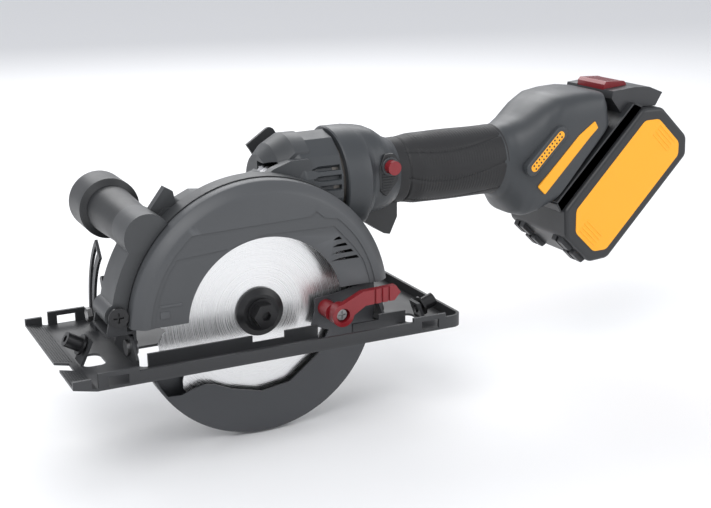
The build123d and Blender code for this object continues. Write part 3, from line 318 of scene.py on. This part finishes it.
# ---------------------------------------------------------------- guard cover
def arc_points(radius, start, end, count):
    out = []
    for k in range(count + 1):
        a = radians(start + (end - start) * k / count)
        out.append((ARBOR[0] + radius * cos(a), ARBOR[1] + radius * sin(a)))
    return out


def lathe_y(name, profile, look, body, around=240, smooth=40):
    """Ring turned about the blade axis; profile pairs are (radius, y), closed."""
    points = []
    for i in range(around):
        a = 2 * pi * i / around
        points.extend((ARBOR[0] + r * cos(a), y, ARBOR[1] + r * sin(a)) for r, y in profile)
    count = len(profile)
    faces = []
    for r in range(around):
        n = (r + 1) % around
        for i in range(count):
            j = (i + 1) % count
            faces.append([r * count + i, r * count + j, n * count + j, n * count + i])
    return build(name, points, faces, look, body, smooth)


def carve(obj, cutter):
    """Takes the cutter's volume away from obj."""
    mod = obj.modifiers.new("carve", "BOOLEAN")
    mod.operation = "DIFFERENCE"
    mod.solver = "EXACT"
    mod.object = cutter
    depsgraph = bpy.context.evaluated_depsgraph_get()
    made = bpy.data.meshes.new_from_object(obj.evaluated_get(depsgraph))
    obj.modifiers.remove(mod)
    obj.data = made
    bpy.data.objects.remove(cutter)


def carve_prism(obj, outline, y0, y1):
    """Cuts a prism's volume out of obj."""
    points, faces = prism_parts(outline, y0, y1)
    carve(obj, bare_mesh("carver", points, faces))


# everything below the guard's lower edge, which steps up behind the lever
BELOW_GUARD = [(-120, -100), (-120, 24.4), (38, 24.4), (50, 32.2), (120, 32.2), (120, -100)]
# cover section as (radius, y): rim, slope, outer face and back
COVER_OUT = [(87.6, -27.6), (87.6, -35.6), (87.0, -36.8), (81.8, -41.2), (80.2, -42.0), (53.2, -42.0)]
COVER_IN = [(52.5, -41.4), (52.5, -40.0), (80.0, -40.0), (85.6, -35.0), (85.6, -27.6)]
PAST_FACE = -43
LEVEL_TWO_Y = -41.35
LEVEL_THREE_Y = -40.75
VENT_FLOOR_Y = -38

cover = lathe_y("guard_cover_shell", COVER_OUT + COVER_IN, LOOK["grey_cover"], "head")
carve_prism(cover, BELOW_GUARD, -60, -20)
# middle and lower levels sit a little deeper than the outer face
level_two = arc_points(76.6, 128.5, 196, 40) + [(-60, 0), (60, 0), (74, 24)]
level_two += arc_points(76.6, 8, 50, 24) + [(40, 80), (34.5, 84.8), (30.3, 81.9)]
carve_prism(cover, level_two, PAST_FACE, LEVEL_TWO_Y)
level_three = arc_points(74.0, 141.5, 190, 24) + [(-60, 0), (60, 0), (68, 24)]
level_three += arc_points(73.2, 8, 24, 8)
level_three += [(60.5, 58.5), (46.8, 73.6), (-4.2, 73.9), (-23.9, 68.1)]
carve_prism(cover, level_three, PAST_FACE, LEVEL_THREE_Y)
for row in range(4):
    low = 50.2 + 4.6 * row
    right = 64.6 - 4.0 * row
    left = 44.0 + 0.8 * row
    inner = (left + 0.3 * (right - left), low + 1.5)
    vent = [(left, low), (right, low), (right - 1.8, low + 2.1), inner]
    carve_prism(cover, vent, PAST_FACE, VENT_FLOOR_Y)
shade(cover, 32)
soften(cover, 0.25, 2, 32)
put(cover, LOOK["grey_cover"])
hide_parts("guard_cover")


def upright(x0, x1, z0, z1):
    """Four corners of a rectangle in X and Z."""
    return [(x0, z0), (x1, z0), (x1, z1), (x0, z1)]


# plain raised marks on the cover where the object has moulded lettering
MARKS = (upright(-70, -56, 36.5, 38.1), upright(-70, -64, 29.5, 34.0))
for index, mark in enumerate(MARKS):
    prism("cover_mark_%d" % index, mark, (-41.2, -40.6), "grey_cover", "head", 0.2, 2)
# dark seal line between cover and guard body
SEAL = [(88.35, -27.5), (88.35, -26.6), (86.0, -26.6), (86.0, -27.5)]
seal = lathe_y("guard_seam", SEAL, LOOK["black_plastic"], "head")
carve_prism(seal, BELOW_GUARD, -60, 0)
shade(seal, 30)
put(seal, LOOK["black_plastic"])

# ---------------------------------------------------------------- grip
GRIP_FRONT = 112.0
GRIP_REAR = 200.0
GRIP_STEP = 0.55
# radius along the grip
GRIP_R = [(112, 22.6), (122, 22.9), (134, 24.4), (160, 24.8), (184, 24.6), (200, 24.9)]
# moulded lines: angle round the grip and how far each one sweeps
GRIP_LINES = ((0, 16), (48, 14), (132, 14), (180, 16), (228, 12), (312, 12))
GRIP_AROUND = 192
RIB_PITCH = 2.2


def groove(distance, width, depth):
    """Depth of a rounded groove at a distance from its middle, as a negative number."""
    if abs(distance) > width:
        return 0.0
    return -depth * (0.5 + 0.5 * cos(pi * distance / width))


def grip_ring(x):
    ring = []
    base = table_value(GRIP_R, x)
    for i in range(GRIP_AROUND):
        a = 2 * pi * i / GRIP_AROUND
        r = base
        side = (degrees(a) + 360) % 360
        for centre, swing in GRIP_LINES:
            path = centre + swing * sin((x - 112) / 88 * pi * 1.15)
            d = (side - path + 180) % 360 - 180
            if 120 < x < 198:
                r += groove(d, 3.4, 0.75)
        # fine ribs across the pads
        if 128 < x < 192:
            pad = abs(((side - 24 - 10 * sin((x - 112) / 40)) % 48) - 24)
            if pad < 15:
                r += 0.16 * sin(x * 2 * pi / RIB_PITCH)
        r += groove(x - 122, 1.2, 0.7) + groove(x - 198, 1.2, 0.6)
        ring.append((x, MIDDLE_Y + r * cos(a), GRIP_Z + r * sin(a)))
    return ring


rings = []
x = GRIP_FRONT
while x <= GRIP_REAR:
    rings.append(grip_ring(x))
    x += GRIP_STEP
grip = skin("grip_sleeve", rings, LOOK["grip_rubber"], "head")
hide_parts("rubber_grip")


# ---------------------------------------------------------------- foot
# foot sections from front to rear: top point, low point, half width in Y, squareness
STATIONS = [
    ((196, 115.6), (196, 66.6), 24.6, 2.0),
    ((201, 115.9), (200.5, 62.5), 25.2, 2.1),
    ((208, 117.6), (204.5, 57.4), 26.6, 2.5),
    ((217, 121.3), (209.5, 51.4), 29.4, 3.2),
    ((230, 130.6), (214.5, 50.2), 31.6, 4.0),
    ((241, 136.0), (218.5, 51.6), 32.3, 4.8),
    ((254, 137.6), (222.5, 53.4), 32.6, 5.5),
    ((268, 138.0), (226.0, 55.8), 32.7, 6.0),
    ((278.5, 136.6), (229.0, 57.6), 32.7, 6.5),
    ((280.5, 131.0), (230.8, 58.8), 32.6, 7.0),
    ((282.8, 118.0), (232.2, 59.8), 32.4, 7.5),
    ((283.2, 115.9), (233.4, 60.9), 31.2, 8.0),
]


def foot_ring(t):
    k = min(int(t), len(STATIONS) - 2)
    s = t - k
    a = STATIONS[k]
    b = STATIONS[k + 1]
    top = Vector(a[0]).lerp(Vector(b[0]), s)
    low = Vector(a[1]).lerp(Vector(b[1]), s)
    half_y = a[2] * (1 - s) + b[2] * s
    power = a[3] * (1 - s) + b[3] * s
    mid = (top + low) / 2
    axis = (top - low) / 2
    ring = []
    for i in range(128):
        angle = 2 * pi * i / 128
        c = cos(angle)
        q = sin(angle)
        scale = (abs(c) ** power + abs(q) ** power) ** (-1 / power)
        y = MIDDLE_Y + half_y * c * scale
        ring.append((mid.x + axis.x * q * scale, y, mid.y + axis.y * q * scale))
    return ring


rings = [foot_ring(k * 0.25) for k in range((len(STATIONS) - 1) * 4 + 1)]
foot = skin("foot_shell", rings, LOOK["housing_plastic"], "head")

# ---------------------------------------------------------------- motor housing and collar
CAN_AROUND = 420
CAN_FRONT = 34.0
CAN_REAR = 66.0
CAN_STEP = 0.4
CAN_R = [(34, 30.2), (40, 32.6), (66, 32.9)]
# angles of the vent slots, three on each side, and the radius that turns them into lengths
VENT_ANGLES = (157.0, 168.5, 180.5, 23.0, 11.5, 359.5)
VENT_RADIUS = 32.5


def can_radius(x, a, r):
    """Radius of the motor can at an angle: soft flats, cut by the vent slots."""
    step = pi / 7
    local = (a + pi / 14) % step - step / 2
    flat = r * cos(step / 2) / cos(local)
    share = 0.85 * smoothstep(38, 41, x)
    out = r * (1 - share) + flat * share
    side_angle = degrees(a) % 360
    for middle_angle in VENT_ANGLES:
        away = abs((side_angle - middle_angle + 180) % 360 - 180) * pi / 180 * VENT_RADIUS
        wide = 1.9 * smoothstep(44, 50, x)
        if 45 < x < 64.5 and away < wide:
            out -= 3.0 * (1 - smoothstep(wide * 0.55, wide, away))
    return out


def can_ring(x):
    r = table_value(CAN_R, x)
    ring = []
    for i in range(CAN_AROUND):
        a = 2 * pi * i / CAN_AROUND
        rr = can_radius(x, a, r)
        ring.append((x, MIDDLE_Y + rr * cos(a), MOTOR_Z + rr * sin(a)))
    return ring


rings = []
x = CAN_FRONT
while x <= CAN_REAR:
    rings.append(can_ring(x))
    x += CAN_STEP
can = skin("motor_can", rings, LOOK["housing_plastic"], "head", smooth=35)
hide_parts("motor_housing")


def neck_ring(x0, top, low, half_y, power, lean):
    """One collar section; lean tips its upper and lower parts along X."""
    ring = []
    for i in range(200):
        a = 2 * pi * i / 200
        c = cos(a)
        q = sin(a)
        scale = (abs(c) ** power + abs(q) ** power) ** (-1 / power)
        height = top if q > 0 else low
        x = x0 + lean * (1.0 - abs(c)) * (0.6 if q > 0 else -1.0)
        ring.append((x, MIDDLE_Y + half_y * c * scale, MOTOR_Z + height * q * scale))
    return ring


# x, height above the axis, depth below it, half width in Y, squareness, lean
NECK = [
    (69.0, 32.4, 32.4, 32.4, 2.0, -4.0),
    (69.0, 34.0, 34.0, 34.0, 2.0, -4.0),
    (69.9, 34.75, 34.75, 34.75, 2.0, -4.0),
    (84.6, 34.75, 34.75, 34.75, 2.0, -5.0),
    (86.6, 34.5, 34.0, 34.4, 2.0, -5.0),
    (88.6, 34.2, 31.0, 31.6, 2.1, -4.0),
    (91.5, 33.6, 28.0, 29.4, 2.3, -2.0),
    (96.0, 32.4, 26.6, 28.6, 2.5, 0.0),
    (100.0, 30.6, 26.0, 28.2, 2.5, 0.0),
    (104.0, 27.8, 25.6, 27.4, 2.4, 0.0),
    (108.0, 25.0, 25.0, 26.0, 2.2, 0.0),
    (111.0, 23.6, 24.2, 24.4, 2.0, 0.0),
    (114.0, 22.6, 22.6, 22.6, 2.0, 0.0),
]


def blend_rows(rows, parts):
    """Rows with evenly spaced steps put between them."""
    out = []
    for k in range(len(rows) - 1):
        for j in range(parts):
            t = j / parts
            out.append(tuple(p * (1 - t) + q * t for p, q in zip(rows[k], rows[k + 1])))
    out.append(rows[-1])
    return out


collar_rings = [neck_ring(*row) for row in blend_rows(NECK, 3)]
collar = skin("handle_collar", collar_rings, LOOK["housing_plastic"], "head", smooth=28)

# seven-sided panel with fine ribs beside the lock-off button, and the button's rim
PANEL = [(93.5, 99), (98, 109.5), (105.5, 109.5), (110.0, 103), (107.8, 90), (99.5, 80.5), (94.5, 84.5)]
prism("button_panel", rounded(PANEL, 1.5), (-13.1, -10.2), "black_plastic", "head", 0.5, 2)
for k in range(7):
    z = 83.6 + 1.9 * k
    left = 95.6 + 0.1 * k
    right = 101.4 + 0.9 * k if k < 6 else 106.4
    outline = [(left, z), (right, z), (right, z + 0.9), (left, z + 0.9)]
    prism("panel_rib_%d" % k, outline, (-13.7, -12.8), "black_plastic", "head", 0.25, 2)
BUTTON_X = 102
BUTTON_Z = 101
RIM_R = 6.4
circle = [(BUTTON_X + RIM_R * cos(t * pi / 16), BUTTON_Z + RIM_R * sin(t * pi / 16)) for t in range(32)]
prism("button_rim", circle, (-14.2, -11), "housing_plastic", "head", 0.6, 3)


def capsule(x0, z0, x1, z1, half, steps=10):
    """Outline of a bar with round ends, half being its half width."""
    line = Vector((x1 - x0, z1 - z0)).normalized()
    start = atan2(line.y, line.x)
    out = []
    for k in range(steps + 1):
        a = start - pi / 2 + pi * k / steps
        out.append((x1 + half * cos(a), z1 + half * sin(a)))
    for k in range(steps + 1):
        a = start + pi / 2 + pi * k / steps
        out.append((x0 + half * cos(a), z0 + half * sin(a)))
    return out


def lay(sign, y_out, y_in):
    """Two Y values, low one first, at distances from the middle on one side."""
    low = MIDDLE_Y + sign * y_out
    high = MIDDLE_Y + sign * y_in
    return (min(low, high), max(low, high))


# vent pods on both sides of the foot: yellow grilles whose holes are small dark discs of painted shade, and
# a stripe
STRIPE = [(218.7, 74.6), (224.6, 68.6), (262, 106.6), (268.8, 112.8), (265.9, 117.8), (252.5, 108.6)]
HOLE_R = 0.72
for side, sign in (("near", -1), ("far", 1)):
    pod = capsule(212.5, 88.6, 236.0, 111.8, 5.2)
    prism("vent_pod_" + side, pod, lay(sign, 35.6, 29.0), "housing_plastic", "head", 1.4, 4)
    inset = capsule(213.5, 89.6, 235.0, 110.8, 2.9)
    grille = prism("vent_grille_" + side, inset, lay(sign, 35.9, 34.8), "yellow_plastic", "head", 0.25, 2)
    if side == "near":
        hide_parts("foot_vents")
    holes = []
    for k in range(11):
        for row in (-1, 1):
            cx = 213.6 + 2.1 * k - 0.9 * row
            cz = 89.7 + 2.075 * k + 0.9 * row + 0.5 * (row > 0)
            holes.append((cx, cz))
    # painted shade: each hole is a dark disc standing a little proud of the grille, not an opening
    for index, (cx, cz) in enumerate(holes):
        ring = [(cx + HOLE_R * cos(t * pi / 5), cz + HOLE_R * sin(t * pi / 5)) for t in range(10)]
        prism("vent_hole_%s_%d" % (side, index), ring, lay(sign, 36.0, 35.2), "black_plastic", "head", 0)
    outline = rounded(STRIPE, 0.8)
    band = prism("accent_stripe_" + side, outline, lay(sign, 33.4, 31.5), "yellow_plastic", "head", 0.3, 2)
    if side == "near":
        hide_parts("accent_strips")
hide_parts("handle_half_far")
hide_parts("handle_half_near")

# ---------------------------------------------------------------- front lip ribs
for k in range(7):
    x = -129.6 + 1.7 * k
    z = 4.6 - (x + 131) * 3.0 / 14.0
    for index, (y0, y1) in enumerate(((-60.5, -34.0), (-14.0, 60.5))):
        section = [(x - 0.35, z - 0.3), (x + 0.35, z - 0.4), (x + 0.2, z + 0.35), (x - 0.2, z + 0.4)]
        prism("lip_rib_%d_%d" % (k, index), section, (y0, y1), "plated_steel", "base", 0)

# ---------------------------------------------------------------- battery
def pack_outline(pairs):
    return [pack_xz(u, n) for u, n in pairs]


CASE_INNER = [(207, 134), (302, 134), (314, 146.4), (314, 180)]
CASE_OUTER = [(304, 190.5), (205.4, 190.5), (193.2, 179.5), (193.2, 149.4)]
outline = rounded(pack_outline(CASE_INNER + CASE_OUTER), 3.0)
case = prism("battery_case_shell", outline, (-21, 53), "battery_plastic", "battery", 2.4, 4)
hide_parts("battery_case")
LABEL = [(213, 141), (297, 141), (306, 150), (306, 177), (299, 184), (209, 184), (201, 176), (201, 153)]
LABEL_SIDES = (("near", (-21.5, -20.2), (-21.9, -21.2)), ("far", (52.2, 53.5), (53.2, 53.9)))
for side, label_span, ridge_span in LABEL_SIDES:
    outline = rounded(pack_outline(LABEL), 2.5)
    label = prism("battery_label_" + side, outline, label_span, "yellow_plastic", "battery", 0.35, 2)
    if side == "near":
        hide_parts("battery_labels")
    for index, u in enumerate((204.0, 207.0, 210.0, 213.0, 294.0, 297.0, 300.0, 303.0)):
        outline = pack_outline([(u, 154), (u + 1.2, 154), (u + 1.2, 173), (u, 173)])
        prism("label_ridge_%s_%d" % (side, index), outline, ridge_span, "yellow_plastic", "battery", 0.3, 2)
BUMPER_WIDTH = 5.0
for index, y in enumerate((-15.5, -8.0, 34.0, 41.5)):
    for part, (n0, n1) in enumerate(((150.5, 164.0), (165.5, 179.0))):
        corners = [(189.6, n0 + 1.5), (194.5, n0), (194.5, n1), (189.6, n1 - 1.5)]
        outline = rounded(pack_outline(corners), 1.0)
        span = (y, y + BUMPER_WIDTH)
        prism("battery_bumper_%d_%d" % (index, part), outline, span, "battery_plastic", "battery", 1.8, 4)
RIM = [(204.5, 134.4), (304.5, 134.4), (301.5, 127.0), (206.5, 127.0)]
prism("battery_rim", rounded(pack_outline(RIM), 1.2), (-17, 49), "battery_plastic", "battery", 0.8, 3)

# ---------------------------------------------------------------- floor, light, camera
FLOOR_Z = -0.0625
bpy.ops.mesh.primitive_plane_add(size=9, location=(0, 0, FLOOR_Z))
floor = bpy.context.object
floor.name = "floor"
put(floor, material("pale floor", (0.90, 0.90, 0.90), 0.7, grain=30, bump=0.0, edge_highlight=0.0))


def area_light(name, place, aim, size, power):
    data = bpy.data.lights.new(name, "AREA")
    data.shape = "RECTANGLE"
    data.size = size[0]
    data.size_y = size[1]
    data.energy = power
    lamp = bpy.data.objects.new(name, data)
    bpy.context.scene.collection.objects.link(lamp)
    lamp.location = place
    lamp.rotation_euler = (Vector(aim) - Vector(place)).to_track_quat("-Z", "Y").to_euler()


area_light("key light", (-0.9, -0.9, 1.5), (0.05, 0, 0.05), (1.2, 1.2), 19)
area_light("fill light", (1.3, -1.1, 0.7), (0.1, 0, 0.08), (1.0, 1.0), 6)
area_light("back light", (0.4, 1.4, 1.1), (0.1, 0, 0.1), (1.6, 0.8), 15)

bpy.context.scene.view_settings.view_transform = "Standard"
world = bpy.data.worlds.new("studio")
bpy.context.scene.world = world
world.use_nodes = True
world.node_tree.nodes["Background"].inputs[0].default_value = (0.93, 0.95, 1.0, 1)
world.node_tree.nodes["Background"].inputs[1].default_value = 0.74

camera_data = bpy.data.cameras.new("camera")
camera_data.lens = 63.42
camera_data.sensor_width = 36.0
camera_data.clip_start = 0.01
camera = bpy.data.objects.new("camera", camera_data)
bpy.context.scene.collection.objects.link(camera)
bpy.context.scene.camera = camera
turn, lift, roll = radians(-26.255), radians(16.105), radians(-0.562)
back = Vector((sin(turn) * cos(lift), -cos(turn) * cos(lift), sin(lift)))
right = Vector((cos(turn), sin(turn), 0))
up = back.cross(right)
cam_x = right * cos(roll) + up * sin(roll)
cam_y = up * cos(roll) - right * sin(roll)
pose = Matrix((cam_x, cam_y, back)).transposed().to_4x4()
pose.translation = Vector((-0.28112, -0.73621, 0.27672))
camera.matrix_world = pose
